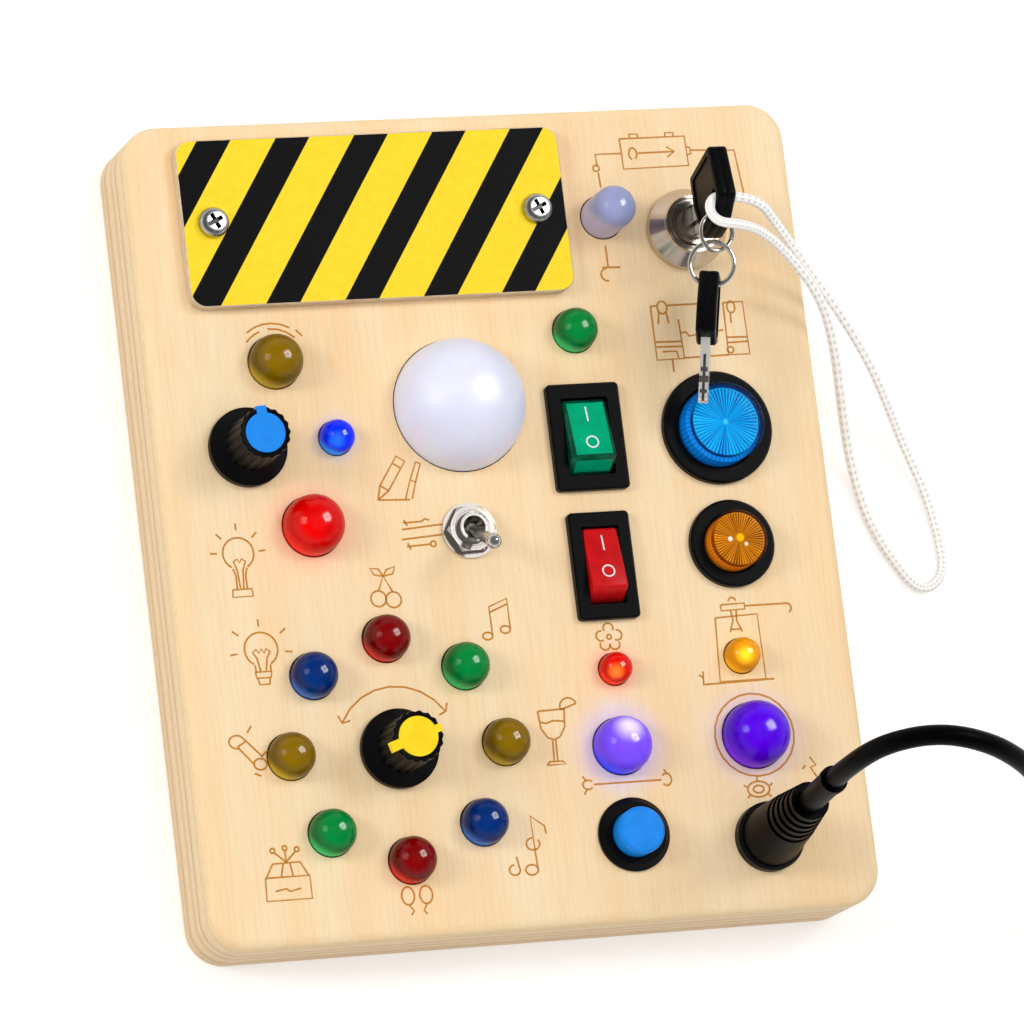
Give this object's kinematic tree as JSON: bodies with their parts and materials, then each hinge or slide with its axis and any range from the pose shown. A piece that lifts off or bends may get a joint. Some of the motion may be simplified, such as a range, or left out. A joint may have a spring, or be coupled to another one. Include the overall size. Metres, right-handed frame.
{
  "type": "wooden busy board",
  "caption": "Wooden sensory board for toddlers: a plywood box with lamps, knobs, rocker and toggle switches, lens buttons, a key lock and a plugged-in power lead.",
  "frame": {"origin": "middle of the back face, on the surface that the board lies on", "axes": "+Z out of the face with the switches, +Y to the board's top edge, +X to its right-hand edge as seen from the front"},
  "size_m": [0.266, 0.1894, 0.0932],
  "materials": {
    "birch_plywood": "satin varnish",
    "hazard_sign_plywood": "gloss printed",
    "plated_screw": "polished",
    "zinc_screw": "satin",
    "green_circuit_board": "satin solder mask",
    "nylon_standoff": "satin",
    "red_tinted_lamp": "gloss",
    "green_tinted_lamp": "gloss",
    "olive_tinted_lamp": "gloss",
    "blue_tinted_lamp": "gloss",
    "bright_red_lamp": "gloss",
    "lit_blue_lamp": "gloss",
    "lavender_lamp": "satin",
    "lit_red_lamp": "gloss",
    "lit_yellow_lamp": "gloss",
    "lit_violet_lamp": "gloss",
    "purple_lamp": "gloss",
    "opal_white_lamp": "satin",
    "black_moulded_plastic": "satin",
    "blue_cap_plastic": "satin",
    "yellow_cap_plastic": "satin",
    "green_rocker_plastic": "gloss",
    "red_rocker_plastic": "gloss",
    "blue_lens_plastic": "gloss",
    "amber_lens_plastic": "gloss",
    "turned_aluminium": "satin",
    "zinc_plated_steel": "satin",
    "nickel_plated_brass": "polished",
    "ring_steel": "polished",
    "white_braid": "braided",
    "black_rubber": "satin"
  },
  "bodies": {
    "board": {"front_panel": "birch_plywood", "side_frame": "birch_plywood", "back_panel": "birch_plywood", "back_screws": "zinc_screw", "sign_plate": "hazard_sign_plywood", "sign_screws": "plated_screw", "circuit_board": "green_circuit_board", "board_standoffs": "nylon_standoff", "olive_lamp": "olive_tinted_lamp", "small_blue_lamp": "lit_blue_lamp", "red_lamp": "bright_red_lamp", "green_lamp": "green_tinted_lamp", "lavender_bullet_lamp": "lavender_lamp", "small_red_lamp": "lit_red_lamp", "small_yellow_lamp": "lit_yellow_lamp", "blue_violet_lamp": "lit_violet_lamp", "purple_lamp": "purple_lamp", "white_dome_lamp": "opal_white_lamp", "dimmer_potentiometer": "zinc_plated_steel", "selector_potentiometer": "zinc_plated_steel", "toggle_switch": "nickel_plated_brass", "toggle_nut": "nickel_plated_brass", "green_rocker_housing": "black_moulded_plastic", "red_rocker_housing": "black_moulded_plastic", "blue_lens_housing": "black_moulded_plastic", "amber_lens_housing": "black_moulded_plastic", "push_button_housing": "black_moulded_plastic", "panel_nuts": "zinc_plated_steel", "lock_housing": "nickel_plated_brass", "power_socket": "black_moulded_plastic", "power_cord": "black_rubber", "power_cord_coil": "black_rubber", "usb_plug": "black_rubber", "ring_lamp_1": "red_tinted_lamp", "ring_lamp_2": "green_tinted_lamp", "ring_lamp_3": "olive_tinted_lamp", "ring_lamp_4": "blue_tinted_lamp", "ring_lamp_5": "red_tinted_lamp", "ring_lamp_6": "green_tinted_lamp", "ring_lamp_7": "olive_tinted_lamp", "ring_lamp_8": "blue_tinted_lamp"},
    "blue_knob_turner": {"blue_knob": "black_moulded_plastic", "blue_knob_cap": "blue_cap_plastic", "dimmer_shaft": "turned_aluminium"},
    "yellow_knob_turner": {"yellow_knob": "black_moulded_plastic", "yellow_knob_cap": "yellow_cap_plastic", "selector_shaft": "turned_aluminium"},
    "toggle": {"toggle_lever": "nickel_plated_brass"},
    "green_switch": {"green_rocker": "green_rocker_plastic"},
    "red_switch": {"red_rocker": "red_rocker_plastic"},
    "blue_button": {"blue_lens": "blue_lens_plastic"},
    "amber_button": {"amber_lens": "amber_lens_plastic"},
    "round_button": {"push_button": "blue_cap_plastic"},
    "lock_barrel": {"lock_core": "nickel_plated_brass"},
    "inserted_key": {"key": "black_moulded_plastic", "lanyard": "white_braid"},
    "upper_ring": {"small_ring": "ring_steel"},
    "lower_ring": {"large_ring": "ring_steel"},
    "hanging_key": {"spare_key": "black_moulded_plastic"},
    "plug": {"power_plug": "black_rubber"}
  },
  "joints": [
    {"name": "blue_knob_turn", "type": "hinge", "parent": "board", "child": "blue_knob_turner", "pos_m": [-0.05539, 0.0178, 0.021], "axis": [0, 0, 1], "range_deg": [-154, 146]},
    {"name": "yellow_knob_turn", "type": "hinge", "parent": "board", "child": "yellow_knob_turner", "pos_m": [-0.0299, -0.0488, 0.021], "axis": [0, 0, 1], "range_deg": [-258, 42]},
    {"name": "toggle_tilt", "type": "hinge", "parent": "board", "child": "toggle", "pos_m": [-0.0084, -0.00271, 0.0226], "axis": [-1, 0, 0], "range_deg": [0, 44]},
    {"name": "green_rocker_tilt", "type": "hinge", "parent": "board", "child": "green_switch", "pos_m": [0.0204, 0.01609, 0.019], "axis": [1, 0, 0], "range_deg": [0, 28]},
    {"name": "red_rocker_tilt", "type": "hinge", "parent": "board", "child": "red_switch", "pos_m": [0.0204, -0.01219, 0.019], "axis": [1, 0, 0], "range_deg": [0, 28]},
    {"name": "blue_lens_press", "type": "slide", "parent": "board", "child": "blue_button", "axis": [0, 0, -1], "range_m": [0, 0.0025], "stiffness_N_per_m": 200, "springref_m": -0.003},
    {"name": "amber_lens_press", "type": "slide", "parent": "board", "child": "amber_button", "axis": [0, 0, -1], "range_m": [0, 0.0025], "stiffness_N_per_m": 150, "springref_m": -0.003},
    {"name": "push_button_press", "type": "slide", "parent": "board", "child": "round_button", "axis": [0, 0, -1], "range_m": [0, 0.0025], "stiffness_N_per_m": 120, "springref_m": -0.003},
    {"name": "key_turn", "type": "hinge", "parent": "board", "child": "lock_barrel", "pos_m": [0.0489, 0.0608, 0.021], "axis": [0, 0, 1], "range_deg": [0, 90]},
    {"name": "key_pull", "type": "slide", "parent": "lock_barrel", "child": "inserted_key", "axis": [0, 0, 1], "range_m": [0, 0.016]},
    {"name": "small_ring_swing", "type": "hinge", "parent": "inserted_key", "child": "upper_ring", "pos_m": [0.0489, 0.05921, 0.0421], "axis": [-1, 0, 0], "range_deg": [0, 30]},
    {"name": "large_ring_swing", "type": "hinge", "parent": "upper_ring", "child": "lower_ring", "pos_m": [0.0483, 0.0514, 0.0403], "axis": [-0.9754, 0.0245, 0.219], "range_deg": [0, 30]},
    {"name": "spare_key_swing", "type": "hinge", "parent": "lower_ring", "child": "hanging_key", "pos_m": [0.04607, 0.0441, 0.03901], "axis": [-0.9185, 0.1807, -0.3518], "range_deg": [0, 40]},
    {"name": "plug_pull", "type": "slide", "parent": "board", "child": "plug", "axis": [0, 0, 1], "range_m": [0, 0.015], "deforming": ["power_cord"]}
  ]
}
